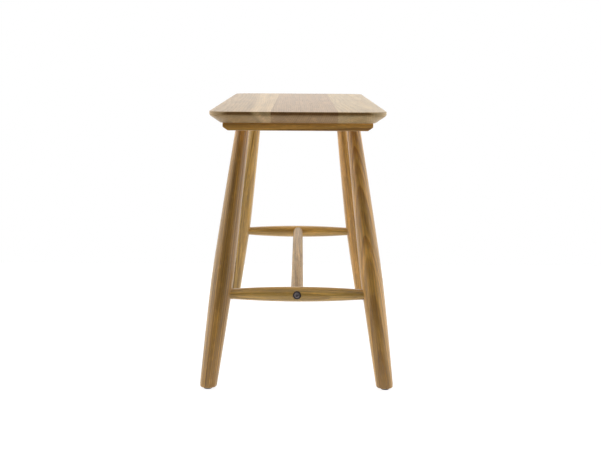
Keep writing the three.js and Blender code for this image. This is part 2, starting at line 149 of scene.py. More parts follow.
# Where a wall begins and where it is fully bright, as the part of a unit direction that points at it
BACK_TURN = 0.5
SIDE_EDGE = 0.7
SIDE_END = 0.9
OPENING_EDGE = -0.95
OPENING_END = -0.35
WHITE = linear("#FFFFFF")


def seen_share(tree, *kinds):
    path = add(tree, "ShaderNodeLightPath").node.outputs
    share = path["Is Camera Ray"]
    for kind in kinds:
        share = add(tree, "ShaderNodeMath", share, path[kind], operation="MAXIMUM")
    return share


def white_tent():
    world = bpy.data.worlds.new("white_tent")
    world.use_nodes = True
    tree = world.node_tree
    tree.nodes.clear()
    direction = add(tree, "ShaderNodeTexCoord", out="Generated")
    parts = add(tree, "ShaderNodeSeparateXYZ", direction).node.outputs
    sideways = add(tree, "ShaderNodeMath", parts["X"], operation="ABSOLUTE")
    side_range = {"From Min": SIDE_EDGE, "From Max": SIDE_END, "To Max": SIDE_LEVEL}
    sides = add(tree, "ShaderNodeMapRange", sideways, named=side_range)
    back_range = {"From Min": -BACK_TURN, "From Max": BACK_TURN, "To Max": BACK_LEVEL}
    back = add(tree, "ShaderNodeMapRange", parts["Y"], named=back_range)
    soft = add(tree, "ShaderNodeMath", back, sides, operation="MAXIMUM")
    opening_range = {"From Min": OPENING_EDGE, "From Max": OPENING_END, "To Max": MIRRORED_LEVEL}
    opening = add(tree, "ShaderNodeMapRange", parts["Y"], named=opening_range)
    mirrored = add(tree, "ShaderNodeMath", opening, sides, operation="MAXIMUM")
    glossy = add(tree, "ShaderNodeLightPath").node.outputs["Is Glossy Ray"]
    level = add(tree, "ShaderNodeMix", glossy, soft, mirrored)
    strength = add(tree, "ShaderNodeMix", seen_share(tree, "Is Transmission Ray"), level, 1.0)
    background = add(tree, "ShaderNodeBackground", WHITE, strength)
    add(tree, "ShaderNodeOutputWorld", background)
    return world


bpy.context.scene.world = white_tent()
print("walls", BACK_LEVEL, "behind and", SIDE_LEVEL, "at the sides")

# %% [markdown]
# One broad soft lamp above adds a little. The floor is a sheet of white acrylic that glows: it bounces light
# up under the seat and keeps a faint shadow. A plain white floor would be greyer than the walls, so part of
# what the camera sees there is plain white. Seen from below the sheet is clear, so that the underside of the
# bench can be looked at too.

# %% Lamp and floor
LAMP_POWER = 0.3
LAMP_ANGLE = math.radians(100)
FLOOR_SIZE = 1.7
FLOOR_COLOUR = "#E8E8E8"
FLOOR_GLOW = 0.1
FLOOR_WHITE = 1.4
FLOOR_WHITE_SHARE = 0.6


def lit_acrylic():
    material, tree = new_material("acrylic_white_lit")
    matt = add(tree, "ShaderNodeBsdfDiffuse", linear(FLOOR_COLOUR))
    glow = add(tree, "ShaderNodeEmission", WHITE, FLOOR_GLOW)
    lit = add(tree, "ShaderNodeAddShader", matt, glow)
    white = add(tree, "ShaderNodeEmission", WHITE, FLOOR_WHITE)
    seen = seen_share(tree, "Is Glossy Ray", "Is Transmission Ray")
    white_share = add(tree, "ShaderNodeMath", seen, FLOOR_WHITE_SHARE, operation="MULTIPLY")
    face = add(tree, "ShaderNodeMixShader", white_share, lit, white)
    underside = add(tree, "ShaderNodeNewGeometry", out="Backfacing")
    see_through = add(tree, "ShaderNodeMath", underside, seen_share(tree), operation="MULTIPLY")
    clear = add(tree, "ShaderNodeBsdfTransparent", WHITE)
    return finish_material(material, add(tree, "ShaderNodeMixShader", see_through, face, clear))


lamp_data = bpy.data.lights.new("overhead_lamp", "SUN")
lamp_data.energy = LAMP_POWER
lamp_data.angle = LAMP_ANGLE
lamp = bpy.data.objects.new("overhead_lamp", lamp_data)
bpy.context.scene.collection.objects.link(lamp)

bm = bmesh.new()
bmesh.ops.create_grid(bm, x_segments=1, y_segments=1, size=FLOOR_SIZE / 2)
floor_mesh = bpy.data.meshes.new("studio_floor")
bm.to_mesh(floor_mesh)
bm.free()
floor_mesh.materials.append(lit_acrylic())
studio_floor = bpy.data.objects.new("studio_floor", floor_mesh)
bpy.context.scene.collection.objects.link(studio_floor)
print("floor", FLOOR_SIZE, "m wide")

# %% [markdown]
# ## How the pieces are built
# A maker starts a piece from a blank: a bar or board whose grain runs along its length. Here a blank is a
# matrix whose local Z runs along the grain. Blender's own cylinders and boxes could be pulled into shape,
# but a size is then hard to find again. Two shapes cover most of the bench instead: a lofted shell, where
# one outline after another is joined into a skin, and a turned shape, which is a loft of circles.

# %% Lofting and turning
TURNED_SIDES = 72


def to_object(name, bm):
    bmesh.ops.recalc_face_normals(bm, faces=bm.faces)
    mesh = bpy.data.meshes.new(name)
    bm.to_mesh(mesh)
    bm.free()
    made = bpy.data.objects.new(name, mesh)
    bpy.context.scene.collection.objects.link(made)
    return made


def loft(rings):
    bm = bmesh.new()
    rows = [[bm.verts.new(point) for point in ring] for ring in rings]
    for low, high in zip(rows, rows[1:]):
        for i in range(len(low)):
            j = (i + 1) % len(low)
            bm.faces.new((low[i], low[j], high[j], high[i]))
    bm.faces.new(reversed(rows[0]))
    bm.faces.new(rows[-1])
    return bm


def turn(profile, sides=TURNED_SIDES):
    rings = []
    for radius, height in profile:
        angles = [2 * math.pi * i / sides for i in range(sides)]
        rings.append([(radius * math.cos(a), radius * math.sin(a), height) for a in angles])
    return loft(rings)


# %% [markdown]
# A piece is then sawn and drilled. A saw cut is a plane that throws away what lies beyond it and closes the
# cut. A hole is a boolean modifier with a round cutter. The holes of a piece are made in one go, and the
# modifiers are applied, so that the mesh that is handed over has them for good.

# %% Sawing and drilling
def trim(bm, point, outward):
    everything = list(bm.verts) + list(bm.edges) + list(bm.faces)
    cut = bmesh.ops.bisect_plane(bm, geom=everything, plane_co=point, plane_no=outward, clear_outer=True)
    edges = [item for item in cut["geom_cut"] if isinstance(item, bmesh.types.BMEdge)]
    bmesh.ops.contextual_create(bm, geom=edges)


def applied(piece):
    shape = bpy.data.meshes.new_from_object(piece.evaluated_get(bpy.context.evaluated_depsgraph_get()))
    piece.modifiers.clear()
    old = piece.data
    piece.data = shape
    bpy.data.meshes.remove(old)


def carve(piece, cutters):
    for cutter in cutters:
        hole = piece.modifiers.new("hole", "BOOLEAN")
        hole.operation = "DIFFERENCE"
        hole.solver = "EXACT"
        hole.object = cutter
    applied(piece)
    for cutter in cutters:
        bpy.data.objects.remove(cutter)


def rod(radius, low, high, blank, sides=TURNED_SIDES):
    made = to_object("cutter", turn([(radius, low), (radius, high)], sides))
    made.matrix_world = blank
    return made


# %% [markdown]
# ## Where a piece lay in the tree
# Oak looks the way it does because of where the piece was cut. Growth rings are shells round the heart of
# the tree, so a board shows arches on its face and arcs on its end, and a turned leg shows long tongues. A
# flat pattern of wood could be wrapped round each piece, but it would break at every edge. So each vertex
# keeps three attributes: its place in the log, in millimetres, with the heart of the tree at zero, the
# direction of the grain, and the tone of its timber. The materials read them, and the figure then runs
# through each piece as one solid. A blank is seldom sawn quite along the tree, so it also has a run-out: how
# far the heart drifts per unit of length. That is what draws nested arches on a leg.

# %% Give a piece its place in the log
SHARP_EDGE = math.radians(40)
WOOD_ATTRIBUTES = {"log": "FLOAT_VECTOR", "grain": "FLOAT_VECTOR", "timber": "FLOAT"}


def settle(piece):
    piece.data.transform(piece.matrix_world)
    piece.matrix_world = Matrix.Identity(4)


def place_in_log(piece, blank, heart_offset, run_out=(0.0, 0.0), tone=1.0):
    settle(piece)
    mesh = piece.data
    into_blank = blank.inverted()
    for name, kind in WOOD_ATTRIBUTES.items():
        mesh.attributes.new(name, kind, "POINT")
    log, grain, timber = (mesh.attributes[name].data for name in WOOD_ATTRIBUTES)
    along_grain = (blank.to_3x3() @ Vector((0, 0, 1))).normalized()
    for vertex in mesh.vertices:
        place = (into_blank @ vertex.co) / MM
        drift = Vector((*run_out, 0)) * place.z
        log[vertex.index].vector = place + drift + Vector(heart_offset)
        grain[vertex.index].vector = along_grain
        timber[vertex.index].value = tone


def deliver(piece, material, slot, *nodes):
    mesh = piece.data
    mesh.materials.clear()
    mesh.materials.append(material)
    mesh.shade_smooth()
    mesh.set_sharp_from_angle(angle=SHARP_EDGE)
    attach(piece, "root")
    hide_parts(*nodes)
    size = piece.dimensions / MM
    print(f"{piece.name}: {len(mesh.polygons)} faces, {size.x:.1f} x {size.y:.1f} x {size.z:.1f} mm")


# %% [markdown]
# ## Oak
# European oak is a ring-porous wood. Its look is built up below by one function for each feature, from real
# sizes in millimetres. The first finds where a point lies: how far out from the heart, and how high up the
# tree. A tree doesn't grow quite round or straight, so a slow noise bends that place a little before
# anything else reads it, and every feature then bends alike.

# %% Where a point lies in the wood
# How far a ring strays, and the size of one such wave across and along the log
RING_WANDER = 5.0
WANDER_SIZE = (55.0, 55.0, 420.0)
WANDER_DETAIL = 2.5
NOISE_MIDDLE = (0.5, 0.5, 0.5)
UP_THE_LOG = (0.0, 0.0, 1.0)
ACROSS_THE_LOG = (1.0, 1.0, 0.0)


def per_size(sizes):
    return tuple(1 / size for size in sizes)


def wood_place(tree, in_log):
    if in_log:
        log = add(tree, "ShaderNodeAttribute", attribute_name="log", out="Vector")
        grain = add(tree, "ShaderNodeAttribute", attribute_name="grain", out="Vector")
        timber = add(tree, "ShaderNodeAttribute", attribute_name="timber", out="Fac")
    else:
        here = add(tree, "ShaderNodeTexCoord", out="Object")
        log = add(tree, "ShaderNodeVectorMath", here, per_size((MM, MM, MM)), operation="MULTIPLY")
        grain = UP_THE_LOG
        timber = 1.0
    slow = add(tree, "ShaderNodeVectorMath", log, per_size(WANDER_SIZE), operation="MULTIPLY")
    waves = {"Vector": slow, "Scale": 1.0, "Detail": WANDER_DETAIL}
    wander = add(tree, "ShaderNodeTexNoise", named=waves, out="Color")
    centred = add(tree, "ShaderNodeVectorMath", wander, NOISE_MIDDLE, operation="SUBTRACT")
    shift = add(tree, "ShaderNodeVectorMath", centred, named={"Scale": 2 * RING_WANDER}, operation="SCALE")
    bent = add(tree, "ShaderNodeVectorMath", log, shift, operation="ADD")
    across = add(tree, "ShaderNodeVectorMath", bent, ACROSS_THE_LOG, operation="MULTIPLY")
    radius = add(tree, "ShaderNodeVectorMath", across, operation="LENGTH")
    return bent, radius, grain, timber


# %% [markdown]
# Each spring the tree lays down a band of wide open pores, which stays darker because it is rough and holds
# the finish, and then denser, paler summer wood. A wave texture could draw rings, but each would fade in as
# slowly as it fades out. Real ones start at once and end slowly, so a ramp is laid over every ring, and some
# rings are fainter than others. Good and bad years come in groups, which draws broad dark and light bands.

# %% Growth rings and groups of years
RING_WIDTH = 3.0
FAINTEST_RING = 0.45
# Shares of a ring, from the heart outwards, and how much of each is open spring wood
RING_SHARES = ((0.0, 0.75), (0.1, 1.0), (0.3, 0.75), (0.6, 0.12), (0.9, 0.08), (1.0, 0.55))
YEARS_WIDTH = 6.5
YEARS_LENGTH = 700.0
YEARS_DETAIL = 2.0
YEARS_RANGE = {"From Min": 0.25, "From Max": 0.75}


def growth_rings(tree, radius):
    ring = add(tree, "ShaderNodeMath", radius, RING_WIDTH, operation="DIVIDE")
    share = add(tree, "ShaderNodeMath", ring, operation="FRACT")
    number = add(tree, "ShaderNodeMath", ring, operation="FLOOR")
    luck = add(tree, "ShaderNodeTexWhiteNoise", number, noise_dimensions="1D")
    spring = add(tree, "ShaderNodeValToRGB", share)
    stops = spring.node.color_ramp.elements
    for position, _ in RING_SHARES[1:-1]:
        stops.new(position)
    for stop, (_, value) in zip(stops, RING_SHARES):
        stop.color = (value, value, value, 1)
    strength = add(tree, "ShaderNodeMapRange", luck, named={"To Min": FAINTEST_RING})
    return add(tree, "ShaderNodeMath", spring, strength, operation="MULTIPLY")


def year_groups(tree, radius, bent):
    height = add(tree, "ShaderNodeSeparateXYZ", bent, out="Z")
    out_place = add(tree, "ShaderNodeMath", radius, YEARS_WIDTH, operation="DIVIDE")
    up_place = add(tree, "ShaderNodeMath", height, YEARS_LENGTH, operation="DIVIDE")
    place = add(tree, "ShaderNodeCombineXYZ", out_place, up_place)
    return add(tree, "ShaderNodeTexNoise", named={"Vector": place, "Scale": 1.0, "Detail": YEARS_DETAIL})


# %% [markdown]
# Fibres and pores run up the tree, so they are noise that is stretched a long way along the grain. Rays run
# out from the heart like the spokes of a wheel and show as short pale flecks. They are a noise too, but one
# that is read by the angle round the heart, and so they turn up on the faces that really show them. A range
# says which levels of a noise are spread over the whole contrast, and one near the top of the noise leaves
# only spots.

# %% Fibres, pores and rays
CLOUD_SIZE = (16.0, 16.0, 150.0)
CLOUD_DETAIL = 3.0
# Bundles of fibres this wide are about two pixels of the picture. Real fibres are far finer.
FIBRE_SIZE = (3.0, 3.0, 110.0)
FIBRE_DETAIL = 2.0
FIBRE_RANGE = {"From Min": 0.3, "From Max": 0.7}
# Real pores are 0.3 mm wide and a few millimetres long. They are drawn larger so that they show.
PORE_SIZE = (0.8, 0.8, 18.0)
PORE_DETAIL = 1.0
PORE_RANGE = {"From Min": 0.56, "From Max": 0.7}
SUMMER_PORES = 0.25
# Real rays are up to a millimetre wide. RAY_WIDTH is the width of one at RAY_RADIUS from the heart.
RAY_WIDTH = 0.9
RAY_HEIGHT = 11.0
RAY_DEPTH = 14.0
RAY_RADIUS = 60.0
RAY_RANGE = {"From Min": 0.6, "From Max": 0.72}


def streaks(tree, bent, sizes, detail):
    place = add(tree, "ShaderNodeVectorMath", bent, per_size(sizes), operation="MULTIPLY")
    return add(tree, "ShaderNodeTexNoise", named={"Vector": place, "Scale": 1.0, "Detail": detail})


def pores(tree, bent, spring):
    cells = streaks(tree, bent, PORE_SIZE, PORE_DETAIL)
    core = add(tree, "ShaderNodeMapRange", cells, named=PORE_RANGE)
    open_share = add(tree, "ShaderNodeMapRange", spring, named={"To Min": SUMMER_PORES})
    return add(tree, "ShaderNodeMath", core, open_share, operation="MULTIPLY")


def rays(tree, bent, radius):
    parts = add(tree, "ShaderNodeSeparateXYZ", bent).node.outputs
    angle = add(tree, "ShaderNodeMath", parts["Y"], parts["X"], operation="ARCTAN2")
    round_place = add(tree, "ShaderNodeMath", angle, RAY_RADIUS / RAY_WIDTH, operation="MULTIPLY")
    out_place = add(tree, "ShaderNodeMath", radius, 1 / RAY_DEPTH, operation="MULTIPLY")
    up_place = add(tree, "ShaderNodeMath", parts["Z"], 1 / RAY_HEIGHT, operation="MULTIPLY")
    place = add(tree, "ShaderNodeCombineXYZ", round_place, out_place, up_place)
    flecks = add(tree, "ShaderNodeTexNoise", named={"Vector": place, "Scale": 1.0, "Detail": 0.0})
    return add(tree, "ShaderNodeMapRange", flecks, named=RAY_RANGE)


# %% [markdown]
# The outermost rings are sapwood, which is much paler, so spring and summer wood each have two colours. All
# that makes the wood lighter or darker is one factor, because light and shade on real timber multiply too.
# End grain drinks the finish and turns dark where it is cut square, and sapwood hardly does.

# %% Colour of the wood
SAPWOOD_BLEND = 2.5
# Heartwood out to a metre from the heart, which is further than any piece lay
NO_SAPWOOD = 1000.0
END_TINT = "#C6B49C"
END_START = 0.95


def ring_colour(tree, radius, spring, colours, heart_radius):
    late, early, sap_late, sap_early = [linear(colour) for colour in colours]
    sap_edge = {"From Min": heart_radius - SAPWOOD_BLEND, "From Max": heart_radius + SAPWOOD_BLEND}
    sap = add(tree, "ShaderNodeMapRange", radius, named=sap_edge)
    late_tone = add(tree, "ShaderNodeMix", sap, late, sap_late, data_type="RGBA")
    early_tone = add(tree, "ShaderNodeMix", sap, early, sap_early, data_type="RGBA")
    ringed = add(tree, "ShaderNodeMix", spring, late_tone, early_tone, data_type="RGBA")
    return ringed, sap


def shaded(tree, colour, tone, patterns):
    for pattern, levels in patterns:
        factor = add(tree, "ShaderNodeMapRange", pattern, named=levels)
        tone = add(tree, "ShaderNodeMath", factor, tone, operation="MULTIPLY")
    return add(tree, "ShaderNodeVectorMath", colour, named={"Scale": tone}, operation="SCALE")


def soaked_end(tree, colour, sap, grain):
    normal = add(tree, "ShaderNodeNewGeometry", out="Normal")
    facing = add(tree, "ShaderNodeVectorMath", normal, grain, operation="DOT_PRODUCT")
    end_share = add(tree, "ShaderNodeMath", facing, operation="ABSOLUTE")
    heartwood = add(tree, "ShaderNodeMath", 1.0, sap, operation="SUBTRACT")
    soaked = add(tree, "ShaderNodeMapRange", end_share, named={"From Min": END_START, "To Max": heartwood})
    tint = linear(END_TINT)
    return add(tree, "ShaderNodeMix", soaked, colour, tint, data_type="RGBA", blend_type="MULTIPLY")


# %% [markdown]
# The frame has a clear satin lacquer that leaves the pores open, so its rims scatter light like a fine dust
# and look pale. Sheen is the shader's word for that. The seat has a thin oil, and looks pale because its top
# mirrors the white wall behind. Pores are hollow and duller than the finished face, and a bump is enough for
# them, because they are far shallower than a pixel is wide.

# %% Oak material
LACQUER = {"IOR": 1.5, "Sheen Weight": 1.0, "Sheen Roughness": 0.5, "Sheen Tint": linear("#F4E6CC")}
OIL = {"IOR": 1.36, "Sheen Weight": 0.0}
THIN_LACQUER = {"IOR": 1.4, "Sheen Weight": 0.0}
# How much rougher an open pore is than the face, and how deep it goes
PORE_DULLNESS = 0.2
PORE_DEPTH = 0.06 * MM
RELIEF_STRENGTH = 0.6
# How much lighter or darker each feature can make the wood
YEARS_CONTRAST = 0.3
CLOUD_CONTRAST = 0.25
FIBRE_CONTRAST = 0.28
PORE_CONTRAST = 0.45
RAY_CONTRAST = 0.16


def around_one(contrast):
    return {"To Min": 1 - contrast, "To Max": 1 + contrast}


def oak(
    name, colours, finish, roughness, heart_radius=NO_SAPWOOD, years=YEARS_CONTRAST, figure=1.0, in_log=True
):
    material, tree = new_material(name)
    bent, radius, grain, timber = wood_place(tree, in_log)
    spring = growth_rings(tree, radius)
    ringed, sap = ring_colour(tree, radius, spring, colours, heart_radius)

    fibre = streaks(tree, bent, FIBRE_SIZE, FIBRE_DETAIL)
    pore = pores(tree, bent, spring)
    patterns = [
        (year_groups(tree, radius, bent), {**YEARS_RANGE, **around_one(years)}),
        (streaks(tree, bent, CLOUD_SIZE, CLOUD_DETAIL), around_one(CLOUD_CONTRAST)),
        (fibre, {**FIBRE_RANGE, **around_one(FIBRE_CONTRAST * figure)}),
        (pore, {"To Min": 1.0, "To Max": 1 - PORE_CONTRAST * figure}),
        (rays(tree, bent, radius), {"To Min": 1.0, "To Max": 1 + RAY_CONTRAST}),
    ]
    colour = soaked_end(tree, shaded(tree, ringed, timber, patterns), sap, grain)

    pore_dull = add(tree, "ShaderNodeMath", pore, PORE_DULLNESS, operation="MULTIPLY")
    dullness = add(tree, "ShaderNodeMath", pore_dull, roughness, operation="ADD")
    relief = add(tree, "ShaderNodeMath", fibre, pore, operation="SUBTRACT")
    hollows = {"Strength": RELIEF_STRENGTH, "Distance": PORE_DEPTH, "Height": relief}
    bump = add(tree, "ShaderNodeBump", named=hollows)
    surface = {"Base Color": colour, "Roughness": dullness, "Normal": bump, **finish}
    return finish_material(material, add(tree, "ShaderNodeBsdfPrincipled", named=surface))


# %% [markdown]
# The legs and battens are golden heartwood, turned or planed and then lacquered. The end stretchers and one
# rear leg came from a yellower board. They could all share one material, but a bench made from several
# boards shows it, so there are two.

# %% Oak of the frame
# Summer wood and then spring wood, the same in sapwood and in each colour below
SAPWOOD = ("#D6B882", "#C2A06A")
GOLDEN = ("#CF9D4E", "#AA7837", *SAPWOOD)
YELLOW = ("#D4AA5A", "#B28B46", *SAPWOOD)
LACQUER_ROUGHNESS = 0.25
FRAME_YEARS = 0.4
# Gives the eye a warm brown with bold bands and pale rims
frame_oak = oak("oak_turned_and_lacquered", GOLDEN, LACQUER, LACQUER_ROUGHNESS, years=FRAME_YEARS)
# Gives the eye a calmer, olive yellow with the same rims
yellow_oak = oak("oak_yellow_turned_and_lacquered", YELLOW, LACQUER, LACQUER_ROUGHNESS)

# %% [markdown]
# ## The seat
# The seat is one board glued up from three staves. Its outline is a rectangle with rounded corners. A cutter
# has gone round it: a long bevel underneath makes the board look thin, a small rounding leads into the
# upright edge, and the top edge is barely eased. Sanding by hand takes more off the corners, so the easing
# grows there. A bevel modifier rounds every edge alike, so it can't draw this one. The edge is drawn as a
# short section instead, and carried round the outline, so that every corner follows it.

# %% Seat sizes and edge
seat_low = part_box("seat_stave_1")[0]
seat_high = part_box("seat_stave_3")[1]
SEAT_CORNER_RADIUS = 30 * MM
SEAT_BEVEL_HEIGHT = 11.5 * MM
SEAT_BEVEL_INSET = 17 * MM
SEAT_NOSE_ROUNDING = 2.6 * MM
SEAT_TOP_EASING = 1.2 * MM
SEAT_CORNER_EASING = 4 * MM
EDGE_STEPS = 6
print("seat", seat_high - seat_low)


def blend_curve(start, control, end):
    points = []
    for step in range(EDGE_STEPS + 1):
        t = step / EDGE_STEPS
        near, middle, far = (1 - t) ** 2, 2 * t * (1 - t), t * t
        points.append(tuple(near * a + middle * b + far * c for a, b, c in zip(start, control, end)))
    return points


def edge_section(easing):
    slant = math.hypot(SEAT_BEVEL_INSET, SEAT_BEVEL_HEIGHT)
    share = SEAT_NOSE_ROUNDING / slant
    thickness = seat_high.z - seat_low.z
    nose_start = (SEAT_BEVEL_INSET * share, SEAT_BEVEL_HEIGHT * (1 - share))
    nose_end = (0, SEAT_BEVEL_HEIGHT + SEAT_NOSE_ROUNDING)
    section = [(SEAT_BEVEL_INSET, 0)]
    section += blend_curve(nose_start, (0, SEAT_BEVEL_HEIGHT), nose_end)
    section += blend_curve((0, thickness - easing), (0, thickness), (easing, thickness))
    return section


# %% Carry the edge round the seat
CORNER_STEPS = 24
CORNERS = ((1, 1), (-1, 1), (-1, -1), (1, -1))


def seat_rings():
    across = (seat_high.x - seat_low.x) / 2 - SEAT_CORNER_RADIUS
    along = (seat_high.y - seat_low.y) / 2 - SEAT_CORNER_RADIUS
    columns = []
    for quarter, (sign_x, sign_y) in enumerate(CORNERS):
        for step in range(CORNER_STEPS + 1):
            share = step / CORNER_STEPS
            angle = (quarter + share) * QUARTER_TURN
            extra = (SEAT_CORNER_EASING - SEAT_TOP_EASING) * math.sin(math.pi * share)
            column = []
            for inset, height in edge_section(SEAT_TOP_EASING + extra):
                x = sign_x * across + (SEAT_CORNER_RADIUS - inset) * math.cos(angle)
                y = sign_y * along + (SEAT_CORNER_RADIUS - inset) * math.sin(angle)
                column.append((x, y, seat_low.z + height))
            columns.append(column)
    return list(zip(*columns))


# %% [markdown]
# Each stave came from another part of the tree. The first was sawn near the bark, and its right side is pale
# sapwood whose edge runs at a slant through the thickness. The second is the darkest and a little pink. The
# third is pale. They differ in colour and in where the heart of the tree lay, and in little else. An oiled
# face gives the eye soft, low contrast, so their fibres and pores are drawn at a quarter of the strength.

# %% Oak of the seat
PALE_SAPWOOD = ("#CCAC7C", "#BE9E6E")
# How far from the heart the sapwood of the first stave starts
SAPWOOD_START = 112.4
OIL_ROUGHNESS = 0.36
OIL_FIGURE = 0.25


def oiled_oak(name, late, early, years, heart_radius=NO_SAPWOOD):
    return oak(name, (late, early, *PALE_SAPWOOD), OIL, OIL_ROUGHNESS, heart_radius, years, OIL_FIGURE)


# Gives the eye a greyish tan that turns to cream beyond the sapwood's edge
sapwood_stave_oak = oiled_oak(
    "oak_stave_with_sapwood", "#B7986A", "#A6865B", years=0.12, heart_radius=SAPWOOD_START
)
# Gives the eye the darkest of the three, with a tinge of pink
pinkish_stave_oak = oiled_oak("oak_stave_pinkish", "#B29065", "#A07D54", years=0.1)
# Gives the eye a light straw colour
pale_stave_oak = oiled_oak("oak_stave_pale", "#C5A979", "#B5976A", years=0.1)

# %% [markdown]
# Every stave starts as the whole board, and a saw cut at each glue line leaves its own part. Three boards
# could be drawn one by one, but then their edges might not meet. Blind holes from below take the inserts
# that the seat's bolts screw into.

# %% Saw the seat into staves
ALONG_Y = Matrix.Rotation(-QUARTER_TURN, 4, "X")
FIT = 0.3 * MM
OVERRUN = 5 * MM
INSERT_SPARE_DEPTH = 1.5 * MM
INSERT_HOLE_SIDES = 24
# Each stave's oak, where its middle lay from the heart of the tree in millimetres, and its run-out
STAVE_TIMBER = {
    "seat_stave_1": (sapwood_stave_oak, (60, -78, 0), (0.013, 0.0)),
    "seat_stave_2": (pinkish_stave_oak, (107, 60, 900), (0.0, 0.01)),
    "seat_stave_3": (pale_stave_oak, (-18, -88, 1700), (0.01, 0.0)),
}


def insert_holes(stave_low, stave_high):
    holes = []
    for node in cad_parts:
        low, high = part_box(node)
        middle = (low + high) / 2
        if "_seat_insert_" in node and stave_low.x < middle.x < stave_high.x:
            radius = (high.x - low.x) / 2 + FIT
            depth = high.z + INSERT_SPARE_DEPTH
            upright = Matrix.Translation((middle.x, middle.y, 0))
            holes.append(rod(radius, seat_low.z - OVERRUN, depth, upright, INSERT_HOLE_SIDES))
    return holes


def make_stave(name, stave_oak, heart_offset, run_out):
    low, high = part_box(name)
    board = loft(seat_rings())
    if low.x > seat_low.x + MM:
        trim(board, (low.x, 0, 0), (-1, 0, 0))
    if high.x < seat_high.x - MM:
        trim(board, (high.x, 0, 0), (1, 0, 0))
    stave = to_object(name + "_oak", board)
    carve(stave, insert_holes(low, high))
    place_in_log(stave, Matrix.Translation((low + high) / 2) @ ALONG_Y, heart_offset, run_out)
    deliver(stave, stave_oak, "seat_oak", name)


for name, timber in STAVE_TIMBER.items():
    make_stave(name, *timber)

# %% [markdown]
# ## The battens
# A thin board runs across the seat near each end. It keeps the seat flat and takes the legs. The lower
# corners of its ends are sawn off and every edge is eased. Two slanting holes take the legs, and five holes
# take the bolts: four of them are short slots, so that the seat can swell across its width through the year.
# Each has a wider step that hides the bolt's head. The easing could be drawn as a section, as on the seat,
# but all edges of a batten are eased alike, so a bevel modifier does it. The leg holes are cut by rods that
# lean as the legs do.

# %% Where the legs stand
ENDS = {"front": -1, "rear": 1}
SIDES = {"left": -1, "right": 1}
LEG_SIDE_SLOPE = math.tan(math.radians(7.4))
LEG_END_SLOPE = math.tan(math.radians(5))
LEG_TOP_RADIUS = 10.8 * MM


def leg_blank(end, side):
    pad_low, pad_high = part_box(f"{end}_{side}_foot_pad")
    foot = (pad_low + pad_high) / 2
    lean = Vector((-SIDES[side] * LEG_SIDE_SLOPE, -ENDS[end] * LEG_END_SLOPE, 1)).normalized()
    turn_to_lean = Vector((0, 0, 1)).rotation_difference(lean).to_matrix().to_4x4()
    return Matrix.Translation((foot.x, foot.y, 0)) @ turn_to_lean, lean


# %% Batten sizes and slots
BATTEN_CHAMFER_LENGTH = 8 * MM
BATTEN_CHAMFER_HEIGHT = 5.5 * MM
BATTEN_EASING = 1 * MM
BATTEN_EASING_STEPS = 3
BOLT_HOLE_RADIUS = 3.3 * MM
HEAD_HOLE_RADIUS = 7.1 * MM
HEAD_HEIGHT = 3.3 * MM
SLOT_PLAY = 2 * MM
batten_low, batten_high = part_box("rear_batten")


def seat_bolt_names(end):
    return [name for name in sorted(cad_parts) if name.startswith(end + "_seat_bolt")]


def slot_cutter(place, play, radius, top):
    bm = turn([(radius, batten_low.z - OVERRUN), (radius, top)])
    for vertex in bm.verts:
        vertex.co.x += math.copysign(play, vertex.co.x)
        vertex.co += Vector((place.x, place.y, 0))
    return to_object("cutter", bm)


def batten_holes(end):
    cutters = []
    for side in SIDES:
        blank, lean = leg_blank(end, side)
        bottom = (batten_low.z - OVERRUN) / lean.z
        top = (batten_high.z + OVERRUN) / lean.z
        cutters.append(rod(LEG_TOP_RADIUS + FIT, bottom, top, blank))
    for name in seat_bolt_names(end):
        bolt_low, bolt_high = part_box(name)
        place = (bolt_low + bolt_high) / 2
        play = 0 if name.endswith("middle") else SLOT_PLAY
        cutters.append(slot_cutter(place, play, BOLT_HOLE_RADIUS, batten_high.z + OVERRUN))
        cutters.append(slot_cutter(place, play, HEAD_HOLE_RADIUS, bolt_low.z + HEAD_HEIGHT))
    return cutters


# %% Make the battens
ALONG_X = Matrix.Rotation(QUARTER_TURN, 4, "Y")
BATTEN_HEARTS = {"front": (30, -74, 2600), "rear": (30, 74, 2600)}
BATTEN_TONE = 1.12


def make_batten(end):
    low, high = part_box(end + "_batten")
    outline = [
        (low.x + BATTEN_CHAMFER_LENGTH, low.z),
        (high.x - BATTEN_CHAMFER_LENGTH, low.z),
        (high.x, low.z + BATTEN_CHAMFER_HEIGHT),
        (high.x, high.z),
        (low.x, high.z),
        (low.x, low.z + BATTEN_CHAMFER_HEIGHT),
    ]
    batten = to_object(end + "_batten_oak", loft([[(x, y, z) for x, z in outline] for y in (low.y, high.y)]))
    easing = batten.modifiers.new("eased_edges", "BEVEL")
    easing.width = BATTEN_EASING
    easing.segments = BATTEN_EASING_STEPS
    applied(batten)
    carve(batten, batten_holes(end))
    blank = Matrix.Translation((low + high) / 2) @ ALONG_X
    place_in_log(batten, blank, BATTEN_HEARTS[end], tone=BATTEN_TONE)
    deliver(batten, frame_oak, "frame_oak", end + "_batten")


for end in ENDS:
    make_batten(end)

# %% [markdown]
# ## The shape of a leg and of an end stretcher
# The legs are turned on a lathe: slender where they enter the batten, fattest a little above the stretchers,
# and slimmer again at the foot. The taper is a power curve, so the swell is full and round. An end
# stretcher is a slim cigar, and a parabola draws it. Its ends seat in tapered sockets in the legs. Both
# shapes could be splines dragged by hand, but a formula gives the socket the stretcher's own taper, grown
# by the fit.

# %% Leg radius and end stretcher
LEG_TOP_SPACING = 178 * MM
LEG_SWELL_RADIUS = 17.8 * MM
LEG_SWELL_HEIGHT = 175 * MM
LEG_FOOT_RADIUS = 13.6 * MM
LEG_TAPER_POWER = 1.25
STRETCHER_RADIUS = 12.1 * MM
STRETCHER_NECK_RADIUS = 8.2 * MM
STRETCHER_STEPS = 48


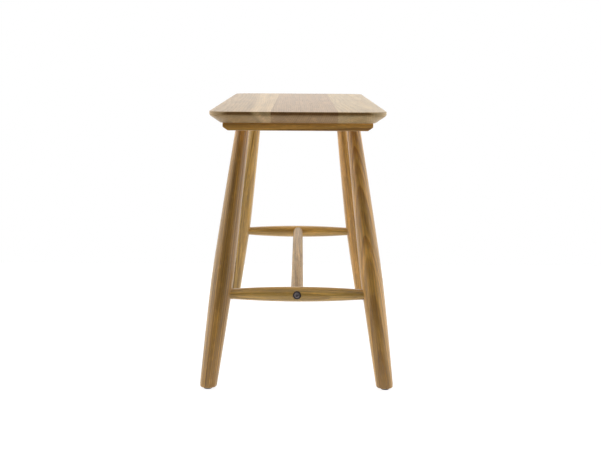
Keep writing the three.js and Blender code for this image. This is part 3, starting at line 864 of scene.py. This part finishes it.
def leg_radius(height):
    above = height > LEG_SWELL_HEIGHT
    end_radius = LEG_TOP_RADIUS if above else LEG_FOOT_RADIUS
    reach = batten_low.z - LEG_SWELL_HEIGHT if above else LEG_SWELL_HEIGHT
    share = min(abs(height - LEG_SWELL_HEIGHT) / reach, 1)
    return LEG_SWELL_RADIUS - (LEG_SWELL_RADIUS - end_radius) * share**LEG_TAPER_POWER


def stretcher_cigar(end, growth):
    low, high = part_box(end + "_end_stretcher")
    middle = (low + high) / 2
    half = (high.x - low.x) / 2
    rise = batten_low.z - middle.z
    neck = LEG_TOP_SPACING / 2 + rise * LEG_SIDE_SLOPE - leg_radius(middle.z)
    profile = []
    for step in range(STRETCHER_STEPS + 1):
        x = half * (2 * step / STRETCHER_STEPS - 1)
        radius = STRETCHER_RADIUS - (STRETCHER_RADIUS - STRETCHER_NECK_RADIUS) * (x / neck) ** 2
        last = step in (0, STRETCHER_STEPS)
        profile.append((radius + growth, x + math.copysign(growth, x) if last else x))
    made = to_object(end + "_end_stretcher_oak", turn(profile))
    made.matrix_world = Matrix.Translation(middle) @ ALONG_X
    return made, middle


# %% [markdown]
# ## The legs
# A leg is turned on its own axis, leaned both ways, and its foot and tenon are then sawn level, as a joiner
# does it. The sole's edge is rounded so that it doesn't split. A rounding in the turned profile would be
# sawn off askew, so it is made on the rim of the cut. Each leg also has the stretcher's socket, a small
# hole for the nail of its pad, and a slot for the wedge in its tenon. Every leg was turned from another
# blank, so each has its own place in the log.

# %% Leg profile, sole and wedge slot
LEG_STEPS = 40
# The foot is turned a little slimmer below this shoulder, and runs on below the saw cut
LEG_FOOT_SHOULDER = 4.8 * MM
LEG_FOOT_SOFTENING = 1 * MM
LEG_FOOT_TRIM = 3 * MM
LEG_FOOT_ROUNDING = 2.2 * MM
LEG_FOOT_STEPS = 4
ROUND_BEVEL = 0.5
SAME_LEVEL = 0.03 * MM
WEDGE_THICKNESS = 2.6 * MM
WEDGE_TIP_THICKNESS = 1 * MM
WEDGE_LENGTH = 10 * MM


def leg_profile(stretch):
    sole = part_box("front_left_leg")[0].z
    shoulder = sole + LEG_FOOT_SHOULDER
    profile = [(leg_radius(sole) - LEG_FOOT_SOFTENING, sole - LEG_FOOT_TRIM)]
    for step in range(LEG_STEPS + 1):
        height = shoulder + (batten_low.z - shoulder) * step / LEG_STEPS
        profile.append((leg_radius(height), height * stretch))
    profile.append((LEG_TOP_RADIUS, (seat_low.z + OVERRUN) * stretch))
    return profile


def round_sole(bm, level):
    sole = [face for face in bm.faces if all(abs(vertex.co.z - level) < SAME_LEVEL for vertex in face.verts)]
    rim = list({edge for face in sole for edge in face.edges})
    shape = {"offset": LEG_FOOT_ROUNDING, "segments": LEG_FOOT_STEPS, "profile": ROUND_BEVEL}
    bmesh.ops.bevel(bm, geom=rim, affect="EDGES", clamp_overlap=True, **shape)


def wedge_slot(lean, blank):
    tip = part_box("front_left_leg")[1].z / lean.z - WEDGE_LENGTH
    slope = (WEDGE_THICKNESS - WEDGE_TIP_THICKNESS) / WEDGE_LENGTH
    reach = LEG_TOP_RADIUS + OVERRUN
    rings = []
    for height in (tip - FIT, tip + WEDGE_LENGTH + OVERRUN):
        half = (WEDGE_TIP_THICKNESS + (height - tip) * slope) / 2 + FIT
        corners = ((-half, -reach), (half, -reach), (half, reach), (-half, reach))
        rings.append([(x, y, height) for x, y in corners])
    slot = to_object("cutter", loft(rings))
    slot.matrix_world = blank
    return slot


# %% Turn the legs
NAIL_HOLE_RADIUS = 1.3 * MM
NAIL_HOLE_TOP = 16 * MM
NAIL_HOLE_SIDES = 16
# Each leg's oak, where its foot lay from the heart of the tree in millimetres, its run-out and its tone
LEG_TIMBER = {
    ("front", "left"): (frame_oak, (62, 14, 1500), (0.01, 0.0), 0.93),
    ("front", "right"): (frame_oak, (-8, -55, 9400), (0.01, 0.06), 0.98),
    ("rear", "left"): (yellow_oak, (40, -51, 5300), (0.02, 0.01), 0.94),
    ("rear", "right"): (frame_oak, (-55, 30, 6200), (0.0, 0.03), 1.02),
}


def make_leg(end, side, leg_oak, heart_offset, run_out, tone):
    name = f"{end}_{side}_leg"
    low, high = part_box(name)
    blank, lean = leg_blank(end, side)
    bm = turn(leg_profile(1 / lean.z))
    bmesh.ops.transform(bm, matrix=blank, verts=bm.verts)
    trim(bm, (0, 0, low.z), (0, 0, -1))
    trim(bm, (0, 0, high.z), (0, 0, 1))
    round_sole(bm, low.z)
    leg = to_object(name + "_oak", bm)
    socket, _ = stretcher_cigar(end, FIT)
    upright = Matrix.Translation((blank.translation.x, blank.translation.y, 0))
    nail_hole = rod(NAIL_HOLE_RADIUS, 0, NAIL_HOLE_TOP, upright, NAIL_HOLE_SIDES)
    carve(leg, [socket, nail_hole, wedge_slot(lean, blank)])
    place_in_log(leg, blank, heart_offset, run_out, tone)
    deliver(leg, leg_oak, "frame_oak", name)


for (end, side), timber in LEG_TIMBER.items():
    make_leg(end, side, *timber)

# %% [markdown]
# ## The stretchers
# Each end stretcher swells in the middle, where it is drilled and spot-faced for the long centre stretcher
# behind it and counterbored in front for the bolt's head. Only holes along a piece could be part of its
# turned profile, and these run across it, so three rods on one axis cut them.

# %% End stretchers
BOLT_RADIUS = 4 * MM
BOLT_HEAD_HEIGHT = 5 * MM
COUNTERBORE_RADIUS = 6.8 * MM
END_STRETCHER_HEARTS = {"front": (12, -44, 6600), "rear": (12, 44, 7400)}
END_STRETCHER_RUN_OUT = (0.0, 0.02)


def pointing_out(middle, outward):
    return Matrix.Translation(middle) @ Matrix.Rotation(-outward * QUARTER_TURN, 4, "X")


def make_end_stretcher(end):
    outward = ENDS[end]
    piece, middle = stretcher_cigar(end, 0)
    centre_low, centre_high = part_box("centre_stretcher")
    centre_end = centre_high.y if outward > 0 else centre_low.y
    centre_radius = (centre_high.z - centre_low.z) / 2
    bolt_low, bolt_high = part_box(end + "_stretcher_bolt")
    head_outer = bolt_high.y if outward > 0 else bolt_low.y
    shoulder = head_outer - outward * BOLT_HEAD_HEIGHT
    beyond = STRETCHER_RADIUS + OVERRUN
    axis = pointing_out(middle, outward)
    spot_face = rod(centre_radius + FIT, -beyond, outward * (centre_end - middle.y), axis)
    bolt_hole = rod(BOLT_RADIUS + FIT, -beyond, beyond, axis)
    counterbore = rod(COUNTERBORE_RADIUS, outward * (shoulder - middle.y), beyond, axis)
    carve(piece, [spot_face, bolt_hole, counterbore])
    blank = Matrix.Translation(middle) @ ALONG_X
    place_in_log(piece, blank, END_STRETCHER_HEARTS[end], END_STRETCHER_RUN_OUT)
    deliver(piece, yellow_oak, "frame_oak", end + "_end_stretcher")


for end in ENDS:
    make_end_stretcher(end)

# %% [markdown]
# The centre stretcher is a round bar with softened ends, and each end is bored for a threaded insert. A
# cylinder would do for the bar but not for its ends, so it is turned too: a short curve, one straight length
# and the same curve again. It came from paler oak and has only a thin coat of lacquer.

# %% Centre stretcher
CENTRE_ROUNDING = 2.6 * MM
CENTRE_HEART = (52, -35, 8200)
INSERT_HOLE_RADIUS = 6.3 * MM
INSERT_HOLE_DEPTH = 22 * MM
PALE = ("#B59663", "#967447", *SAPWOOD)
THIN_LACQUER_ROUGHNESS = 0.48
# A thin coat over paler oak gives the eye a dull, even surface
stretcher_oak = oak("oak_pale_turned_and_lacquered", PALE, THIN_LACQUER, THIN_LACQUER_ROUGHNESS)


def make_centre_stretcher():
    low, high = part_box("centre_stretcher")
    radius = (high.z - low.z) / 2
    half = (high.y - low.y) / 2
    inner = radius - CENTRE_ROUNDING
    shoulder = half - CENTRE_ROUNDING
    profile = blend_curve((inner, -half), (radius, -half), (radius, -shoulder))
    profile += blend_curve((radius, shoulder), (radius, half), (inner, half))
    blank = Matrix.Translation((low + high) / 2) @ ALONG_Y
    piece = to_object("centre_stretcher_oak", turn(profile))
    piece.matrix_world = blank
    depth = half - INSERT_HOLE_DEPTH
    far_hole = rod(INSERT_HOLE_RADIUS, depth, half + OVERRUN, blank)
    near_hole = rod(INSERT_HOLE_RADIUS, -half - OVERRUN, -depth, blank)
    carve(piece, [far_hole, near_hole])
    place_in_log(piece, blank, CENTRE_HEART)
    deliver(piece, stretcher_oak, "stretcher_oak", "centre_stretcher")


make_centre_stretcher()

# %% [markdown]
# ## Metal finishes
# The screw through each end stretcher is black steel: the head is forged and then blackened in hot salts and
# oiled. Its face is drawn a soft grey, and painted shade darkens the rim of the head, where the counterbore
# shades it. The screws under the seat are zinc plated, bluish grey and brighter. The inserts are turned brass.
# Each could be one flat colour, but real plating is never even, so all three are one recipe with other
# numbers: fine specks and broader clouds between two colours. Only that head needs more: there the distance
# from the bolt's axis dims the colour towards the rim, as painted shade of the counterbore.

# %% Metals
METAL_SPECK_DETAIL = 4.0
METAL_CLOUD_DETAIL = 2.0
GRITS_IN_A_CLOUD = 12
SPECK_RANGE = {"From Min": 0.1, "From Max": 0.45}
GLOSSIEST_SHARE = 0.8
DULLEST_SHARE = 1.25
METAL_RELIEF = 0.4
ACROSS_THE_BOLT = (1.0, 0.0, 1.0)
# Painted shade of the counterbore on the head: none within the first radius, full at the second, and how dark
# it gets
SHADE_START_RADIUS = 3.6 * MM
SHADE_FULL_RADIUS = 4.8 * MM
SHADE_LEVEL = 0.3


# Painted shade: dims the head towards its rim, where the counterbore shades it
def counterbore_shade_share(tree, here):
    low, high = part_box("front_stretcher_bolt")
    bolt_axis = (0.0, 0.0, (low.z + high.z) / 2)
    from_axis = add(tree, "ShaderNodeVectorMath", here, bolt_axis, operation="SUBTRACT")
    across = add(tree, "ShaderNodeVectorMath", from_axis, ACROSS_THE_BOLT, operation="MULTIPLY")
    reach = add(tree, "ShaderNodeVectorMath", across, operation="LENGTH")
    painted_shade = {"From Min": SHADE_START_RADIUS, "From Max": SHADE_FULL_RADIUS, "To Min": 1.0, "To Max": SHADE_LEVEL}
    return add(tree, "ShaderNodeMapRange", reach, named=painted_shade)


def metal(name, base, dark, roughness, grit, depth, counterbore_shade=False):
    material, tree = new_material(name)
    here = add(tree, "ShaderNodeTexCoord", out="Object")
    specks = {"Vector": here, "Scale": 1 / grit, "Detail": METAL_SPECK_DETAIL}
    speck = add(tree, "ShaderNodeTexNoise", named=specks)
    clouds = {"Vector": here, "Scale": 1 / (grit * GRITS_IN_A_CLOUD), "Detail": METAL_CLOUD_DETAIL}
    cloud = add(tree, "ShaderNodeTexNoise", named=clouds)
    share = add(tree, "ShaderNodeMath", speck, cloud, operation="MULTIPLY")
    mixed = add(tree, "ShaderNodeMapRange", share, named=SPECK_RANGE)
    colour = add(tree, "ShaderNodeMix", mixed, linear(dark), linear(base), data_type="RGBA")
    # Painted shade of the counterbore on the rim of the head
    if counterbore_shade:
        painted_shade = counterbore_shade_share(tree, here)
        colour = add(tree, "ShaderNodeVectorMath", colour, named={"Scale": painted_shade}, operation="SCALE")
    levels = {"To Min": roughness * GLOSSIEST_SHARE, "To Max": roughness * DULLEST_SHARE}
    rough = add(tree, "ShaderNodeMapRange", cloud, named=levels)
    bump = add(tree, "ShaderNodeBump", named={"Strength": METAL_RELIEF, "Distance": depth, "Height": speck})
    surface = {"Base Color": colour, "Metallic": 1.0, "Roughness": rough, "Normal": bump}
    return finish_material(material, add(tree, "ShaderNodeBsdfPrincipled", named=surface))


# Gives the eye a soft grey face in a ring of painted shade. The specks of the salt bath are 0.5 mm wide.
black_steel = metal(
    "steel_black_oxide", "#BDB3B4", "#8C8386", roughness=0.4, grit=0.5 * MM, depth=0.02 * MM, counterbore_shade=True
)
# Gives the eye a cool, bright grey with the faint spangle of the plating
zinc_steel = metal(
    "steel_zinc_plated", "#C6C9CC", "#8D9196", roughness=0.32, grit=0.6 * MM, depth=0.02 * MM
)
# Gives the eye a warm yellow glint. The tool's marks on brass are the shallowest.
brass = metal("brass_turned", "#C9A45A", "#96763A", roughness=0.3, grit=0.5 * MM, depth=0.01 * MM)

# %% [markdown]
# ## Bolts
# Both kinds of bolt have a hexagon socket. They are turned as a profile, and the socket is carved. A bevel
# modifier could soften the head, but it would round the socket too, so the softened edge is part of the
# profile. It is only a few tenths of a millimetre wide, and a bolt without it looks cut out of paper.

# %% Screws through the end stretchers
BOLT_HEAD_RADIUS = 6.5 * MM
BOLT_HEAD_EASING = 0.6 * MM
BOLT_SOCKET_WIDTH = 5 * MM
BOLT_SOCKET_DEPTH = 4.5 * MM
HEXAGON_SIDES = 6


def hexagon(across_flats, low, high, blank):
    return rod(across_flats / math.sqrt(3), low, high, blank, HEXAGON_SIDES)


def make_stretcher_bolt(end):
    name = end + "_stretcher_bolt"
    low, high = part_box(name)
    half = (high.y - low.y) / 2
    shoulder = half - BOLT_HEAD_HEIGHT
    rim = BOLT_HEAD_RADIUS - BOLT_HEAD_EASING
    profile = [
        (BOLT_RADIUS - BOLT_HEAD_EASING, -half),
        (BOLT_RADIUS, -half + BOLT_HEAD_EASING),
        (BOLT_RADIUS, shoulder),
        (BOLT_HEAD_RADIUS - BOLT_HEAD_EASING / 2, shoulder),
        (BOLT_HEAD_RADIUS, shoulder + BOLT_HEAD_EASING / 2),
    ]
    edge = half - BOLT_HEAD_EASING
    profile += blend_curve((BOLT_HEAD_RADIUS, edge), (BOLT_HEAD_RADIUS, half), (rim, half))
    blank = pointing_out((low + high) / 2, ENDS[end])
    bolt = to_object(name + "_steel", turn(profile))
    bolt.matrix_world = blank
    carve(bolt, [hexagon(BOLT_SOCKET_WIDTH, half - BOLT_SOCKET_DEPTH, half + OVERRUN, blank)])
    settle(bolt)
    deliver(bolt, black_steel, "black_steel", name)


for end in ENDS:
    make_stretcher_bolt(end)

# %% [markdown]
# Ten smaller screws hold the seat, with their heads down. A head is domed, and the thin flange above it
# bears on the step of its hole in the batten. Dome and flange could be two pieces, but the real screw is
# made from one blank, so they are one profile.

# %% Screws under the seat
SMALL_SIDES = 48
SEAT_BOLT_RADIUS = 3 * MM
SEAT_BOLT_FLANGE_RADIUS = 6.8 * MM
SEAT_BOLT_FLANGE_THICKNESS = 0.9 * MM
SEAT_BOLT_FLANGE_EASING = 0.3 * MM
SEAT_BOLT_HEAD_RADIUS = 5.25 * MM
SEAT_BOLT_SOCKET_WIDTH = 4 * MM
SEAT_BOLT_SOCKET_DEPTH = 2 * MM


def make_seat_bolt(name):
    low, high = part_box(name)
    flange_low = HEAD_HEIGHT - SEAT_BOLT_FLANGE_THICKNESS
    crown = SEAT_BOLT_HEAD_RADIUS - HEAD_HEIGHT / 2
    profile = blend_curve((crown, 0), (SEAT_BOLT_HEAD_RADIUS, 0), (SEAT_BOLT_HEAD_RADIUS, flange_low))
    profile += [
        (SEAT_BOLT_FLANGE_RADIUS - SEAT_BOLT_FLANGE_EASING, flange_low),
        (SEAT_BOLT_FLANGE_RADIUS, flange_low + SEAT_BOLT_FLANGE_EASING),
        (SEAT_BOLT_FLANGE_RADIUS, HEAD_HEIGHT),
        (SEAT_BOLT_RADIUS, HEAD_HEIGHT),
        (SEAT_BOLT_RADIUS, high.z - low.z),
    ]
    middle = (low + high) / 2
    blank = Matrix.Translation((middle.x, middle.y, low.z))
    bolt = to_object(name + "_steel", turn(profile, SMALL_SIDES))
    bolt.matrix_world = blank
    carve(bolt, [hexagon(SEAT_BOLT_SOCKET_WIDTH, -OVERRUN, SEAT_BOLT_SOCKET_DEPTH, blank)])
    settle(bolt)
    deliver(bolt, zinc_steel, "zinc_steel", name)


for end in ENDS:
    for name in seat_bolt_names(end):
        make_seat_bolt(name)

# %% [markdown]
# ## Foot pads
# A round plastic glide is nailed under each foot. It is moulded in dark brown polyethylene, matt with a fine
# spark-eroded texture, and it shows only as a dark line under the leg. It is turned like the bolts, with its
# nail in one profile, because the two never come apart.

# %% Plastic of the pads
# The grit of a spark-eroded mould is about 0.1 mm. It is drawn coarser so that it shows.
PAD_GRIT = 0.4 * MM
PAD_GRIT_DETAIL = 3.0
PAD_GRIT_DEPTH = 0.03 * MM
PAD_RELIEF = 0.5
PAD_ROUGHNESS = {"To Min": 0.5, "To Max": 0.7}
POLYETHYLENE_IOR = 1.5


def moulded_plastic(name, base, dark):
    material, tree = new_material(name)
    here = add(tree, "ShaderNodeTexCoord", out="Object")
    grits = {"Vector": here, "Scale": 1 / PAD_GRIT, "Detail": PAD_GRIT_DETAIL}
    grit = add(tree, "ShaderNodeTexNoise", named=grits)
    colour = add(tree, "ShaderNodeMix", grit, linear(dark), linear(base), data_type="RGBA")
    rough = add(tree, "ShaderNodeMapRange", grit, named=PAD_ROUGHNESS)
    texture = {"Strength": PAD_RELIEF, "Distance": PAD_GRIT_DEPTH, "Height": grit}
    bump = add(tree, "ShaderNodeBump", named=texture)
    surface = {"Base Color": colour, "Roughness": rough, "IOR": POLYETHYLENE_IOR, "Normal": bump}
    return finish_material(material, add(tree, "ShaderNodeBsdfPrincipled", named=surface))


# Gives the eye a dull dark brown, almost black in the leg's own shadow
pad_plastic = moulded_plastic("polyethylene_moulded_dark_brown", "#3B2E24", "#251C15")

# %% Foot pads
PAD_EASING = 0.6 * MM
PAD_THICKNESS = 2.5 * MM
PAD_NAIL_RADIUS = 1 * MM


def make_pad(end, side):
    name = f"{end}_{side}_foot_pad"
    low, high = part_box(name)
    middle = (low + high) / 2
    radius = (high.x - low.x) / 2
    profile = blend_curve((radius - PAD_EASING, 0), (radius, 0), (radius, PAD_EASING))
    profile += [
        (radius, PAD_THICKNESS),
        (PAD_NAIL_RADIUS, PAD_THICKNESS),
        (PAD_NAIL_RADIUS, high.z - PAD_NAIL_RADIUS),
        (PAD_NAIL_RADIUS / 4, high.z),
    ]
    pad = to_object(name + "_plastic", turn(profile, SMALL_SIDES))
    pad.data.transform(Matrix.Translation((middle.x, middle.y, 0)))
    deliver(pad, pad_plastic, "pad_plastic", name)


for end in ENDS:
    for side in SIDES:
        make_pad(end, side)

# %% [markdown]
# ## Hidden pieces
# The threaded inserts and the leg wedges are sealed inside the wood. They could be built again too, but no
# one would see it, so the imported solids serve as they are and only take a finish: turned brass for the
# inserts and plain oak for the wedges.

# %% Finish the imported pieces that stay
SPLIT = ("#A87B45", "#7D5527", *SAPWOOD)
SPLIT_ROUGHNESS = 0.5
# Gives the eye the dull, darker brown of wood that was split and never planed
wedge_oak = oak("oak_split_wedge", SPLIT, LACQUER, SPLIT_ROUGHNESS, in_log=False)
for name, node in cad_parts.items():
    if "_insert" in name or name.endswith("_wedge"):
        node.data.materials.clear()
        node.data.materials.append(wedge_oak if name.endswith("_wedge") else brass)
        print("finished", name)
